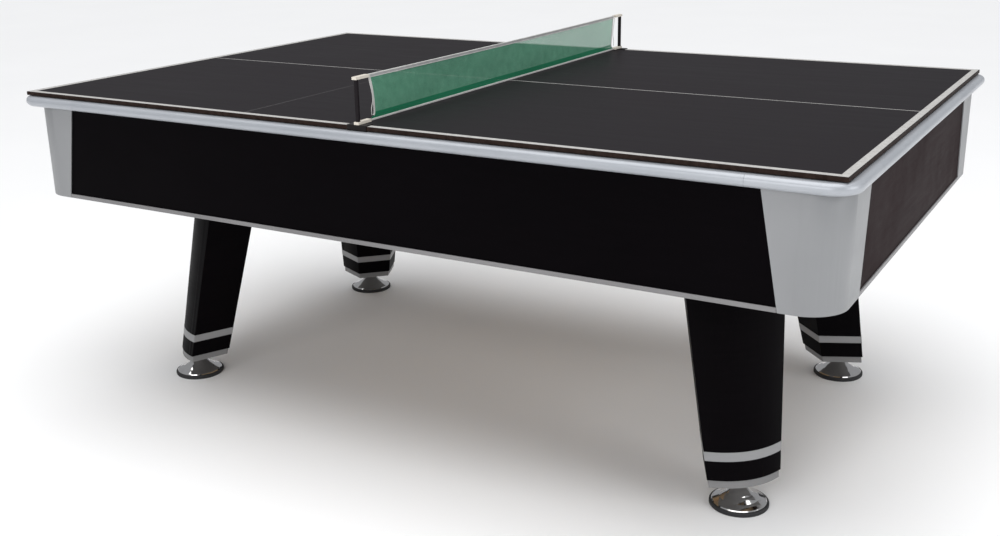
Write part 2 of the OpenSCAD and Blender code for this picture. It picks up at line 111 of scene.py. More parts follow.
def make_camera():
    """The camera stands off the table's front right corner and looks down on it."""
    yaw, pitch, roll = (math.radians(turn) for turn in (CAMERA_YAW, CAMERA_PITCH, CAMERA_ROLL))
    ahead = Vector((-math.sin(yaw) * math.cos(pitch), math.cos(yaw) * math.cos(pitch),
                    -math.sin(pitch)))
    right = Vector((math.cos(yaw), math.sin(yaw), 0.0))
    up = right.cross(ahead)
    turned_right = math.cos(roll) * right + math.sin(roll) * up
    turned_up = -math.sin(roll) * right + math.cos(roll) * up
    data = bpy.data.cameras.new("camera")
    data.sensor_width = CAMERA_FRAME
    data.lens = CAMERA_LENS
    camera = bpy.data.objects.new("camera", data)
    bpy.context.scene.collection.objects.link(camera)
    axes = Matrix((turned_right, turned_up, -ahead)).transposed().to_4x4()
    camera.matrix_world = Matrix.Translation(Vector(CAMERA_PLACE)) @ axes
    bpy.context.scene.camera = camera


def area_light(name, place, target, size, power, colour):
    """A softbox that faces its target."""
    data = bpy.data.lights.new(name, "AREA")
    data.shape = "RECTANGLE"
    data.size, data.size_y = size
    data.energy = power
    data.color = colour
    light = bpy.data.objects.new(name, data)
    bpy.context.scene.collection.objects.link(light)
    light.location = place
    aim = Vector(target) - Vector(place)
    light.rotation_euler = aim.to_track_quat("-Z", "Y").to_euler()


def make_studio():
    """A white world that lights dimly, so that the dark foils keep their depth, soft lights, and
    a pale floor."""
    world = bpy.data.worlds.new("studio")
    bpy.context.scene.world = world
    world.use_nodes = True
    tree = world.node_tree
    seen = tree.nodes["Background"]
    seen.inputs["Color"].default_value = (1.0, 1.0, 1.0, 1.0)
    seen.inputs["Strength"].default_value = 1.0
    ambient = tree.nodes.new("ShaderNodeBackground")
    ambient.inputs["Color"].default_value = (0.94, 0.96, 1.0, 1.0)
    ambient.inputs["Strength"].default_value = AMBIENT
    path = tree.nodes.new("ShaderNodeLightPath")
    choice = tree.nodes.new("ShaderNodeMixShader")
    tree.links.new(path.outputs["Is Camera Ray"], choice.inputs[0])
    tree.links.new(ambient.outputs[0], choice.inputs[1])
    tree.links.new(seen.outputs[0], choice.inputs[2])
    tree.links.new(choice.outputs[0], tree.nodes["World Output"].inputs["Surface"])
    sky = bpy.data.lights.new("sky_panel", "SUN")
    sky.energy = SKY_POWER
    sky.angle = math.radians(SKY_SPREAD)
    bpy.context.scene.collection.objects.link(bpy.data.objects.new("sky_panel", sky))
    for softbox in SOFTBOXES:
        area_light(*softbox)
    bpy.context.scene.view_settings.view_transform = "Standard"

    mesh = bpy.data.meshes.new("floor")
    corners = ((-1, -1), (1, -1), (1, 1), (-1, 1))
    mesh.from_pydata([(sx * FLOOR_REACH, sy * FLOOR_REACH, 0) for sx, sy in corners], [],
                     [(0, 1, 2, 3)])
    floor = bpy.data.objects.new("floor", mesh)
    bpy.context.scene.collection.objects.link(floor)
    mesh.materials.append(floor_material())


# ---------------------------------------------------------------- material helpers

def with_alpha(value):
    """A colour of three values gets its alpha; anything else stays as it is."""
    return (*value, 1.0) if isinstance(value, tuple) and len(value) == 3 else value


def scaled(colour, factor):
    """A colour made lighter or darker."""
    return tuple(c * factor for c in colour)


class Graph:
    """A material's node tree, with short calls for the nodes that the materials below share."""

    def __init__(self, name):
        self.material = bpy.data.materials.new(name)
        self.material.use_nodes = True
        self.tree = self.material.node_tree
        self.shader = self.tree.nodes["Principled BSDF"]
        self.place = self.add("ShaderNodeTexCoord").outputs["Object"]

    def add(self, kind, **settings):
        """A new node of a kind, with its settings."""
        node = self.tree.nodes.new(kind)
        for key, value in settings.items():
            setattr(node, key, value)
        return node

    def link(self, value, socket):
        """Feeds a socket from another socket, or sets it to a plain value."""
        if isinstance(value, bpy.types.NodeSocket):
            self.tree.links.new(value, socket)
        else:
            socket.default_value = value

    def put(self, **values):
        """Sets the shader's sockets: put(Base_Color=..., Roughness=...)."""
        for key, value in values.items():
            self.link(with_alpha(value), self.shader.inputs[key.replace("_", " ")])

    def stretched(self, scale):
        """The object coordinates, scaled by axis."""
        node = self.add("ShaderNodeVectorMath", operation="MULTIPLY")
        self.link(self.place, node.inputs[0])
        node.inputs[1].default_value = scale
        return node.outputs[0]

    def noise(self, scale, detail=3.0, roughness=0.5, vector=None, distortion=0.0):
        """A noise of about 0..1; the scale is in cycles per metre."""
        node = self.add("ShaderNodeTexNoise")
        self.link(self.place if vector is None else vector, node.inputs["Vector"])
        node.inputs["Scale"].default_value = scale
        node.inputs["Detail"].default_value = detail
        node.inputs["Roughness"].default_value = roughness
        node.inputs["Distortion"].default_value = distortion
        return node.outputs["Fac"]

    def cells(self, scale, vector=None, output="Distance"):
        """Cells: the distance to each one's middle, or each one's own colour."""
        node = self.add("ShaderNodeTexVoronoi")
        self.link(self.place if vector is None else vector, node.inputs["Vector"])
        node.inputs["Scale"].default_value = scale
        return node.outputs[output]

    def maths(self, operation, a, b=0.0, c=0.0):
        """A sum; MULTIPLY_ADD is a * b + c."""
        node = self.add("ShaderNodeMath", operation=operation)
        for value, socket in zip((a, b, c), node.inputs):
            self.link(value, socket)
        return node.outputs[0]

    def spread(self, value, low, high, to_low=0.0, to_high=1.0):
        """Maps low..high to to_low..to_high, clamped."""
        node = self.add("ShaderNodeMapRange")
        for item, key in ((value, "Value"), (low, "From Min"), (high, "From Max"),
                          (to_low, "To Min"), (to_high, "To Max")):
            self.link(item, node.inputs[key])
        return node.outputs[0]

    def mix(self, factor, a, b):
        """Mixes two colours."""
        node = self.add("ShaderNodeMix", data_type="RGBA")
        self.link(factor, node.inputs["Factor"])
        for value, socket in ((a, node.inputs[6]), (b, node.inputs[7])):
            self.link(with_alpha(value), socket)
        return node.outputs[2]

    def axes(self):
        """The object coordinates' x, y and z."""
        node = self.add("ShaderNodeSeparateXYZ")
        self.link(self.place, node.inputs[0])
        return node.outputs[0], node.outputs[1], node.outputs[2]

    def up_normal(self):
        """The z component of the surface's own normal."""
        geometry = self.add("ShaderNodeNewGeometry")
        node = self.add("ShaderNodeSeparateXYZ")
        self.link(geometry.outputs["True Normal"], node.inputs[0])
        return node.outputs[2]

    def edges(self):
        """Pointiness: above 0.5 on convex edges."""
        return self.add("ShaderNodeNewGeometry").outputs["Pointiness"]

    def bump(self, height, depth, strength=1.0, below=None):
        """A bump of a height in 0..1 with the given depth in metres, over another bump."""
        node = self.add("ShaderNodeBump")
        self.link(height, node.inputs["Height"])
        node.inputs["Distance"].default_value = depth
        node.inputs["Strength"].default_value = strength
        if below is not None:
            self.link(below, node.inputs["Normal"])
        return node.outputs[0]


def floor_material():
    """A plain pale studio floor, faintly mottled."""
    g = Graph("studio_floor")
    mottle = g.noise(1.3, 3.0, 0.5)
    g.put(Base_Color=g.mix(mottle, (0.9, 0.9, 0.9), (0.93, 0.93, 0.93)), Roughness=0.8)
    g.shader.inputs["Specular IOR Level"].default_value = 0.1
    return g.material


def laminate(name, colour, lift, specular=0.022):
    """Dark foil over board: fine pressed pores, faint lengthwise grain, light handling marks."""
    g = Graph(name)
    grain = g.noise(9.0, 5.0, 0.6, g.stretched((1.0, 1.0, 14.0)), 0.4)
    cloud = g.noise(2.2, 4.0, 0.55)
    tone = g.maths("MULTIPLY_ADD", grain, 0.6, g.maths("MULTIPLY", cloud, 0.4))
    g.put(Base_Color=g.mix(g.spread(tone, 0.3, 0.72), colour, scaled(colour, lift)))
    marks = g.spread(g.noise(5.0, 6.0, 0.7), 0.45, 0.75, 0.0, 0.12)
    g.put(Roughness=g.maths("ADD", g.spread(grain, 0.2, 0.8, 0.4, 0.5), marks))
    pores = g.noise(900.0, 2.0, 0.6)
    g.put(Normal=g.bump(grain, 0.0002, 0.3, g.bump(pores, 0.00012, 0.5)))
    g.shader.inputs["Specular IOR Level"].default_value = specular
    return g.material


def moulded_plastic(name, dark, light, roughness=0.42, grain=650.0):
    """Satin moulded plastic: spark-eroded grain, slight flow clouds and paler worn edges."""
    g = Graph(name)
    cloud = g.noise(3.5, 4.0, 0.5)
    worn = g.spread(g.edges(), 0.53, 0.6, 0.0, 0.35)
    body = g.mix(g.spread(cloud, 0.35, 0.65), dark, light)
    g.put(Base_Color=g.mix(worn, body, tuple(min(1.0, c * 1.35) for c in light)))
    uneven = g.spread(g.noise(14.0, 5.0, 0.6), 0.3, 0.7, -0.05, 0.07)
    g.put(Roughness=g.maths("ADD", uneven, roughness))
    coarse = g.bump(g.noise(grain * 0.6, 2.0), 0.0001, 0.4)
    g.put(Normal=g.bump(g.cells(grain), 0.00015, 0.35, coarse))
    return g.material


def silver_foil(name, dark, light, along):
    """Pearl silver foil on the nosing: fine lengthwise brushing with a soft metallic sheen."""
    g = Graph(name)
    stretch = {"x": (2.0, 90.0, 90.0), "y": (90.0, 2.0, 90.0),
               "corner": (60.0, 60.0, 60.0)}[along]
    brushed = g.noise(11.0, 5.0, 0.65, g.stretched(stretch))
    cloud = g.noise(4.0, 3.0, 0.5)
    tone = g.maths("MULTIPLY_ADD", brushed, 0.45, g.maths("MULTIPLY", cloud, 0.55))
    g.put(Base_Color=g.mix(g.spread(tone, 0.32, 0.68), dark, light))
    g.put(Roughness=g.spread(brushed, 0.2, 0.8, 0.3, 0.42))
    g.put(Normal=g.bump(brushed, 0.00008, 0.35))
    g.shader.inputs["Metallic"].default_value = 0.25
    g.shader.inputs["Coat Weight"].default_value = 0.15
    g.shader.inputs["Coat Roughness"].default_value = 0.25
    return g.material


def raw_board(name, dark, light):
    """Bare particle board: coarse chips with resin specks."""
    g = Graph(name)
    chips = g.cells(260.0, g.stretched((1.0, 2.2, 2.2)), output="Color")
    tint = g.add("ShaderNodeSeparateColor")
    g.link(chips, tint.inputs[0])
    specks = g.spread(g.noise(420.0, 2.0), 0.62, 0.7, 0.0, 0.5)
    body = g.mix(tint.outputs[0], dark, light)
    g.put(Base_Color=g.mix(specks, body, scaled(dark, 0.45)))
    g.put(Roughness=g.spread(g.noise(60.0, 4.0), 0.3, 0.7, 0.7, 0.88))
    g.put(Normal=g.bump(g.noise(500.0, 3.0), 0.0003, 0.5))
    return g.material


def sawn_wood(name, dark, light, along):
    """Planed softwood: growth rings drawn out along the length."""
    g = Graph(name)
    stretch = {"x": (0.6, 9.0, 9.0), "y": (9.0, 0.6, 9.0), "z": (9.0, 9.0, 0.6)}[along]
    wave = g.add("ShaderNodeTexWave", wave_type="RINGS", rings_direction=along.upper())
    g.link(g.stretched(stretch), wave.inputs["Vector"])
    wave.inputs["Scale"].default_value = 2.2
    wave.inputs["Distortion"].default_value = 5.0
    wave.inputs["Detail"].default_value = 3.0
    fibre = g.noise(30.0, 5.0, 0.6, g.stretched(stretch))
    tone = g.maths("MULTIPLY_ADD", wave.outputs["Fac"], 0.5, g.maths("MULTIPLY", fibre, 0.5))
    g.put(Base_Color=g.mix(g.spread(tone, 0.25, 0.75), light, dark))
    g.put(Roughness=g.spread(fibre, 0.3, 0.7, 0.55, 0.7))
    g.put(Normal=g.bump(fibre, 0.0003, 0.5))
    return g.material


def polished_metal(name, colour, roughness, smudge):
    """Plated or bare metal with faint smudges and hairline scratches."""
    g = Graph(name)
    hazy = g.noise(35.0, 5.0, 0.6)
    lines = g.noise(70.0, 3.0, 0.7, g.stretched((1.0, 1.0, 24.0)))
    g.put(Base_Color=g.mix(g.spread(hazy, 0.4, 0.75), colour, scaled(colour, 0.9)))
    g.put(Metallic=1.0)
    g.put(Roughness=g.maths("ADD", g.spread(hazy, 0.4, 0.75, 0.0, smudge), roughness))
    g.put(Normal=g.bump(lines, 0.00003, 0.25))
    return g.material


def soft_rubber(name, colour):
    """Moulded rubber or foam: matt, faintly mottled, with dust on what faces up."""
    g = Graph(name)
    mottled = g.noise(60.0, 5.0, 0.6)
    dust = g.maths("MULTIPLY", g.spread(g.up_normal(), 0.5, 1.0),
                   g.spread(mottled, 0.45, 0.75, 0.0, 0.25))
    body = g.mix(g.spread(mottled, 0.3, 0.7), colour, scaled(colour, 1.8))
    g.put(Base_Color=g.mix(dust, body, (0.12, 0.115, 0.11)))
    g.put(Roughness=g.spread(mottled, 0.3, 0.7, 0.62, 0.8))
    g.put(Normal=g.bump(g.noise(900.0, 2.0), 0.0001, 0.5))
    return g.material


def painted_metal(name, colour):
    """Powder-coated steel: fine orange peel and paler chipped edges."""
    g = Graph(name)
    peel = g.noise(420.0, 2.0, 0.5)
    worn = g.spread(g.edges(), 0.54, 0.62, 0.0, 0.5)
    g.put(Base_Color=g.mix(worn, colour, scaled(colour, 2.2)))
    g.shader.inputs["Specular IOR Level"].default_value = 0.12
    g.put(Roughness=g.spread(g.noise(30.0, 4.0), 0.3, 0.7, 0.34, 0.48))
    g.put(Normal=g.bump(peel, 0.0001, 0.5))
    return g.material


def top_paint():
    """Charcoal table-tennis paint with white lines, rolled-on stipple and a dark brown edge."""
    g = Graph("table_tennis_paint")
    x, y, _ = g.axes()
    low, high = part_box("left_top_plate")[0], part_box("right_top_plate")[1]
    across = g.maths("SUBTRACT", high.y, g.maths("ABSOLUTE", y))
    along = g.maths("SUBTRACT", high.x, g.maths("ABSOLUTE", x))
    nearest = g.maths("MINIMUM", across, along)
    ragged = g.maths("MULTIPLY_ADD", g.noise(160.0, 3.0), 0.7 * MM, nearest)
    border = g.maths("MULTIPLY", g.spread(ragged, LINE_START, LINE_START + LINE_SOFT),
                     g.spread(ragged, LINE_END, LINE_END + LINE_SOFT, 1.0, 0.0))
    middle = g.spread(g.maths("ABSOLUTE", y), CENTRE_LINE_HALF, CENTRE_LINE_HALF + LINE_SOFT,
                      1.0, 0.0)
    lines = g.maths("MAXIMUM", border, middle)
    facing_up = g.spread(g.up_normal(), 0.5, 0.7)
    lines = g.maths("MULTIPLY", lines, facing_up)

    cloud = g.noise(1.6, 5.0, 0.55)
    streaks = g.noise(7.0, 4.0, 0.6, g.stretched((0.6, 5.0, 1.0)))
    tone = g.maths("MULTIPLY_ADD", cloud, 0.6, g.maths("MULTIPLY", streaks, 0.4))
    field = g.mix(g.spread(tone, 0.35, 0.66), (0.0135, 0.0115, 0.0132),
                  (0.019, 0.0163, 0.0185))
    scuffs = g.spread(g.noise(26.0, 6.0, 0.75), 0.6, 0.78, 0.0, 0.35)
    field = g.mix(scuffs, field, (0.034, 0.031, 0.034))
    off_hair = g.maths("ABSOLUTE", g.maths("SUBTRACT", x, HAIRLINE_X))
    fading = g.spread(y, low.y, 0.3 * high.y, 0.45, 0.06)
    hair = g.maths("MULTIPLY", fading, g.spread(off_hair, 0.5 * MM, 1.2 * MM, 1.0, 0.0))
    field = g.mix(hair, field, (0.3, 0.29, 0.29))
    rim = g.mix(g.spread(g.noise(90.0, 4.0), 0.3, 0.7), (0.018, 0.011, 0.009),
                (0.034, 0.022, 0.018))
    body = g.mix(facing_up, rim, field)
    white = g.mix(g.spread(g.noise(70.0, 5.0, 0.7), 0.35, 0.7), (0.4, 0.39, 0.375),
                  (0.5, 0.495, 0.48))
    g.put(Base_Color=g.mix(lines, body, white))
    stipple = g.noise(520.0, 2.0, 0.5)
    smooth = g.spread(tone, 0.35, 0.7, 0.44, 0.56)
    g.put(Roughness=g.maths("ADD", smooth, g.maths("MULTIPLY", lines, 0.05)))
    g.put(Normal=g.bump(stipple, 0.0001, 0.35, g.bump(lines, 0.00008, 0.6)))
    g.shader.inputs["Specular IOR Level"].default_value = 0.035
    return g.material


def cloth(name, dark, light):
    """Napped billiard cloth: a fine twill under a soft fuzz, with chalk dust and lighter wear."""
    g = Graph(name)
    x, y, z = g.axes()
    twill_pitch = 0.9 * MM
    slant = g.maths("ADD", x, g.maths("ADD", y, z))
    ribs = g.maths("SINE", g.maths("MULTIPLY", slant, math.tau / twill_pitch))
    fuzz = g.noise(1400.0, 2.0, 0.6)
    wear = g.noise(4.0, 5.0, 0.6)
    nap = g.maths("MULTIPLY_ADD", fuzz, 0.5, g.maths("MULTIPLY", wear, 0.5))
    tone = g.maths("MULTIPLY_ADD", ribs, 0.08, nap)
    chalk = g.spread(g.noise(40.0, 6.0, 0.75), 0.62, 0.8, 0.0, 0.25)
    body = g.mix(g.spread(tone, 0.3, 0.7), dark, light)
    g.put(Base_Color=g.mix(chalk, body, (0.16, 0.26, 0.24)))
    g.put(Roughness=0.92)
    g.put(Normal=g.bump(g.maths("MULTIPLY_ADD", ribs, 0.25, fuzz), 0.0002, 0.5))
    g.shader.inputs["Sheen Weight"].default_value = 0.35
    g.shader.inputs["Sheen Roughness"].default_value = 0.5
    return g.material


# ---------------------------------------------------------------- soft goods

def new_piece(name, verts, faces, material):
    """A smooth-shaded mesh piece with its normals turned outward."""
    mesh = bpy.data.meshes.new(name)
    mesh.from_pydata([tuple(v) for v in verts], [], faces)
    mesh.materials.append(material)
    piece = bpy.data.objects.new(name, mesh)
    bpy.context.scene.collection.objects.link(piece)
    shape = bmesh.new()
    shape.from_mesh(mesh)
    bmesh.ops.recalc_face_normals(shape, faces=shape.faces)
    shape.to_mesh(mesh)
    shape.free()
    for face in mesh.polygons:
        face.use_smooth = True
    return piece


def swept(name, rings, material, sharp=50.0):
    """A closed tube through rings of points, capped at both ends."""
    count = len(rings[0])
    verts = [point for ring in rings for point in ring]
    faces = []
    for i in range(len(rings) - 1):
        for j in range(count):
            k = (j + 1) % count
            faces.append((i * count + j, i * count + k, (i + 1) * count + k, (i + 1) * count + j))
    faces.append(tuple(reversed(range(count))))
    faces.append(tuple(range((len(rings) - 1) * count, len(rings) * count)))
    piece = new_piece(name, verts, faces, material)
    piece.data.set_sharp_from_angle(angle=math.radians(sharp))
    return piece


def cushion(name, nose, back, place, material):
    """A cloth-covered rubber cushion with rounded ends. nose and back say where it starts and ends
    at the nose and at the rail; place carries (along, out, height) in metres to a point."""
    centre = [sum(p[i] for p in CUSHION_SECTION) / len(CUSHION_SECTION) for i in (0, 1)]

    def ring(span, setback, pull):
        points = []
        for out, height in CUSHION_SECTION:
            part = out / CUSHION_DEPTH
            ends = [nose[i] * part + back[i] * (1 - part) for i in (0, 1)]
            along = ends[0] + (ends[1] - ends[0]) * span + setback * MM
            kept = 1 - pull / CUSHION_HALF
            ripple = CUSHION_RIPPLE * math.sin(along * 61.0) * math.sin(along * 17.0 + 1.0) * part
            points.append(place(along, (centre[0] + (out - centre[0]) * kept - abs(ripple)) * MM,
                                (centre[1] + (height - centre[1]) * kept) * MM))
        return points

    rings = [ring(0.0, END_LENGTH - step, pull) for pull, step in END_ROUND]
    rings += [ring(i / CUSHION_STEPS, END_LENGTH * (1 - 2 * i / CUSHION_STEPS), 0.0)
              for i in range(CUSHION_STEPS + 1)]
    rings += [ring(1.0, step - END_LENGTH, pull) for pull, step in reversed(END_ROUND)]
    piece = swept(name, rings, material)
    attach(piece, "table")
    return piece


def make_cushions(material):
    """The four long and two short cushions, inside the rails and on the bed cloth."""
    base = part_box("bed_cloth")[1].z
    for side, sign_y in (("front", -1), ("back", 1)):
        for half, sign_x in (("left", -1), ("right", 1)):
            node = f"cushion_{side}_{half}"
            low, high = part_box(node)
            start, end = sorted((abs(low.x), abs(high.x)))
            edge = max(abs(low.y), abs(high.y))
            nose = (start + SIDE_MOUTH, end - CORNER_MOUTH)
            piece = cushion(f"{node}_cover", nose, (start, end),
                            lambda a, o, h: (sign_x * a, sign_y * (edge - o), base + h), material)
            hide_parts(node)
    for half, sign_x in (("left", -1), ("right", 1)):
        node = f"cushion_{half}_end"
        low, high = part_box(node)
        edge = max(abs(low.x), abs(high.x))
        nose = (low.y + CORNER_MOUTH, high.y - CORNER_MOUTH)
        piece = cushion(f"{node}_cover", nose, (low.y, high.y),
                        lambda a, o, h: (sign_x * (edge - o), a, base + h), material)
        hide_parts(node)


def arc(centre, radius, start, end, count):
    """Points on an arc about a centre in plan, angles in degrees."""
    turns = [math.radians(start + (end - start) * i / count) for i in range(count + 1)]
    return [(centre[0] + radius * math.cos(turn), centre[1] + radius * math.sin(turn))
            for turn in turns]


def make_bed_cloth(material):
    """The stretched cloth: one sheet, cut out at the pockets and turned down into them."""
    low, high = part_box("bed_cloth")
    half_x, half_y, top = high.x, high.y, high.z
    outline = []
    for sign_x, sign_y, first in ((1, 1, 0), (-1, 1, 90), (-1, -1, 180), (1, -1, 270)):
        centre = (sign_x * (half_x - CLOTH_CORNER_R), sign_y * (half_y - CLOTH_CORNER_R))
        outline += arc(centre, CLOTH_CORNER_R, first, first + 90, 8)
        if sign_x == sign_y:  # a side pocket follows the back right and the front left corner
            notch = arc((0.0, SIDE_POCKET_Y), CLOTH_HOLE_R, 0, -180, 32)
            notch = [(CLOTH_HOLE_R, half_y)] + notch + [(-CLOTH_HOLE_R, half_y)]
            outline += [(sign_y * x, sign_y * y) for x, y in notch]
    holes = [arc((sx * CORNER_POCKET[0], sy * CORNER_POCKET[1]), CLOTH_HOLE_R, 0, 360, 48)[:-1]
             for sx in (-1, 1) for sy in (-1, 1)]
    shape = bmesh.new()
    for loop in [outline] + holes:
        verts = [shape.verts.new((x, y, top)) for x, y in loop]
        for i, vert in enumerate(verts):
            shape.edges.new((vert, verts[(i + 1) % len(verts)]))
    bmesh.ops.triangle_fill(shape, use_beauty=True, edges=shape.edges[:])
    rims = [e for e in shape.edges if e.is_boundary and near_pocket(e)]
    for drop in CLOTH_TURN_DOWN:
        made = bmesh.ops.extrude_edge_only(shape, edges=rims)["geom"]
        rims = [g for g in made if isinstance(g, bmesh.types.BMEdge)]
        for vert in {v for e in rims for v in e.verts}:
            vert.co.z = top - drop
    bmesh.ops.recalc_face_normals(shape, faces=shape.faces)
    mesh = bpy.data.meshes.new("bed_cloth_sheet")
    shape.to_mesh(mesh)
    shape.free()
    mesh.materials.append(material)
    piece = bpy.data.objects.new("bed_cloth_sheet", mesh)
    bpy.context.scene.collection.objects.link(piece)
    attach(piece, "table")
    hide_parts("bed_cloth")


def near_pocket(edge):
    """True for an edge of the cloth on a pocket's rim."""
    middle = (edge.verts[0].co + edge.verts[1].co) / 2
    centres = [(sx * CORNER_POCKET[0], sy * CORNER_POCKET[1]) for sx in (-1, 1) for sy in (-1, 1)]
    centres += [(0.0, -SIDE_POCKET_Y), (0.0, SIDE_POCKET_Y)]
    return any(abs(math.hypot(middle.x - x, middle.y - y) - CLOTH_HOLE_R) < 1.5 * MM
               for x, y in centres)


# ---------------------------------------------------------------- net

def tape(name, places, profile, material):
    """A tape along a line of points: profile holds its offsets across and up in millimetres."""
    rings = []
    for i, place in enumerate(places):
        ahead = (places[min(i + 1, len(places) - 1)] - places[max(i - 1, 0)]).normalized()
        across = Vector((1.0, 0.0, 0.0))
        up = across.cross(ahead).normalized()
        rings.append([place + across * a * MM + up * b * MM for a, b in profile])
    piece = swept(name, rings, material, 60.0)
    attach(piece, "net_sheet")
    return piece


class Net:
    """The net's shape: s runs from -1 to 1 along it, t from 0 at its bottom to 1 at its top."""

    lean = 14 * MM
    sag = 2.0 * MM
    binding_inset = 2.2 * MM

    def __init__(self):
        low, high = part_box("net")
        self.half, self.low, self.high = high.y, low.z, high.z

    def edge(self, t):
        """How far out the net reaches at t: its ends draw in from the top down, and the bottom
        corner comes back out to the lower arm."""
        inset = 3 * MM + self.lean * math.sin(math.pi / 2 * (1 - t) / 0.8)
        corner = min(1.0, max(0.0, t / 0.14))
        corner = corner * corner * (3 - 2 * corner)
        return self.half - (2 * MM + (inset - 2 * MM) * corner)

    def point(self, s, t):
        """A point of the slightly wavy, sagging sheet."""
        end = abs(s) ** 14
        y = s * (self.half - (self.half - self.edge(t)) * end)
        slack = math.sin(math.pi * t)
        waves = 1.5 * math.sin(9.0 * y + 2.2 * t) + 0.8 * math.sin(23.0 * y + 1.0 - 4.0 * t)
        x = slack * waves * MM
        x += (1 - abs(s)) * 0.4 * MM * math.sin(5.0 * y)
        sag = self.sag * (1 - s * s)
        return Vector((x, y, self.low + (self.high - self.low) * t - sag * t))


def rounded_profile(half_across, half_up, lift=0.0):
    """A tape's section with eased corners, lifted off its line, in millimetres."""
    return [(-half_across, lift - 0.7 * half_up), (-0.6 * half_across, lift - half_up),
            (0.6 * half_across, lift - half_up), (half_across, lift - 0.7 * half_up),
            (half_across, lift + 0.7 * half_up), (0.6 * half_across, lift + half_up),
            (-0.6 * half_across, lift + half_up), (-half_across, lift + 0.7 * half_up)]


def make_net(mesh_material, white, grey):
    """The mesh with its bottom, top and end tapes and its two ties."""
    net = Net()
    verts, faces = [], []
    for i in range(NET_COLUMNS + 1):
        for j in range(NET_ROWS + 1):
            verts.append(net.point(2 * i / NET_COLUMNS - 1, j / NET_ROWS))
    for i in range(NET_COLUMNS):
        for j in range(NET_ROWS):
            a = i * (NET_ROWS + 1) + j
            faces.append((a, a + NET_ROWS + 1, a + NET_ROWS + 2, a + 1))
    sheet = new_piece("net_mesh", verts, faces, mesh_material)
    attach(sheet, "net_sheet")
    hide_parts("net")

    steps = [2 * i / TAPE_STEPS - 1 for i in range(TAPE_STEPS + 1)]
    bottom, top = ([net.point(s, t) for s in steps] for t in (0.0, 1.0))
    tapes = [tape("net_bottom_tape", bottom, rounded_profile(0.7, 2.2, 2.3), white),
             tape("net_top_tape", top, rounded_profile(0.8, 3.3, -4.2), grey),
             tape("net_top_cord", top, rounded_profile(1.2, 1.3, -1.4), white),
             tape("net_top_hem", top, rounded_profile(1.0, 0.9, -7.6), white)]
    ends = (("near", -1), ("far", 1))
    for label, sign in ends:
        inset = Vector((0.0, sign * net.binding_inset, 0.0))
        places = [net.point(sign, 0.1 + 0.89 * i / BINDING_STEPS) - inset
                  for i in range(BINDING_STEPS + 1)]
        tapes.append(tape(f"net_{label}_binding", places, rounded_profile(0.9, 2.4), white))
    for label, sign in ends:
        make_tie(net, label, sign, white)


def between(before, start, end, after, part):
    """A share of the way from start to end, on a smooth curve through all four values."""
    return 0.5 * (2 * start + (end - before) * part
                  + (2 * before - 5 * start + 4 * end - after) * part ** 2
                  + (3 * start - before - 3 * end + after) * part ** 3)


def make_tie(net, label, sign, material):
    """The loose strand at an end binding: it hangs from the upper arm's end, crosses the binding
    half way down and comes back out above the lower arm."""
    points = []
    last = len(TIE_WAY) - 1
    for i in range(last):
        knots = [TIE_WAY[max(0, min(last, i + j))] for j in (-1, 0, 1, 2)]
        for step in range(TIE_STEPS + (i == last - 1)):
            t, inset = (between(*values, step / TIE_STEPS) for values in zip(*knots))
            points.append(Vector((TIE_X, sign * (net.half - inset * MM),
                                  net.low + (net.high - net.low) * t)))
    curve = bpy.data.curves.new(f"net_{label}_tie", "CURVE")
    curve.dimensions = "3D"
    curve.bevel_depth = TIE_D / 2
    curve.bevel_resolution = 3
    spline = curve.splines.new("POLY")
    spline.points.add(len(points) - 1)
    for place, point in zip(points, spline.points):
        point.co = (*place, 1.0)
    curve.materials.append(material)
    tie = bpy.data.objects.new(f"net_{label}_tie", curve)
    bpy.context.scene.collection.objects.link(tie)
    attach(tie, "net_sheet")


def net_mesh_material():
    """Green knotless mesh: see-through cells between fine threads, denser along the bottom."""
    g = Graph("net_mesh_weave")
    _, y, z = g.axes()
    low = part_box("net")[0]
    band_top, band_slit = low.z + BAND_HEIGHT, low.z + BAND_SLIT

    def threads(value):
        turns = g.maths("MULTIPLY", value, math.pi / MESH_PITCH)
        return g.spread(g.maths("ABSOLUTE", g.maths("SINE", turns)), 0.52, 0.7, 1.0, 0.0)

    woven = g.maths("MAXIMUM", threads(y), threads(z))
    band = g.spread(z, band_top, band_top + 0.8 * MM, 1.0, 0.0)
    off_slit = g.maths("ABSOLUTE", g.maths("SUBTRACT", z, band_slit))
    slit = g.spread(off_slit, 0.6 * MM, 1.3 * MM, 0.55, 1.0)
    cover = g.maths("MAXIMUM", g.maths("MULTIPLY", woven, 0.96),
                    g.maths("MULTIPLY_ADD", g.maths("MULTIPLY", band, slit), 0.52, 0.36))
    g.put(Alpha=g.maths("MINIMUM", cover, 1.0))
    shade = g.noise(40.0, 5.0, 0.6)
    body = g.mix(g.spread(shade, 0.3, 0.7), (0.1, 0.33, 0.205), (0.15, 0.42, 0.275))
    g.put(Base_Color=g.mix(band, body, (0.012, 0.19, 0.09)))
    g.put(Roughness=0.7)
    g.put(Normal=g.bump(woven, 0.0003, 0.5))
    g.shader.inputs["Specular IOR Level"].default_value = 0.15
    g.material.surface_render_method = "DITHERED"
    return g.material


def tape_material(name, dark, light):
    """Woven cotton tape: fine cross ribs, slightly soiled."""
    g = Graph(name)
    _, y, z = g.axes()
    rib_pitch = 0.9 * MM
    ribs = g.maths("SINE", g.maths("MULTIPLY", g.maths("ADD", y, z), math.tau / rib_pitch))
    soil = g.spread(g.noise(30.0, 6.0, 0.7), 0.35, 0.75)
    g.put(Base_Color=g.mix(soil, light, dark))
    g.put(Roughness=0.85)
    fibres = g.noise(1500.0, 2.0)
    g.put(Normal=g.bump(g.maths("MULTIPLY_ADD", ribs, 0.4, fibres), 0.00015, 0.5))
    g.shader.inputs["Sheen Weight"].default_value = 0.2
    return g.material


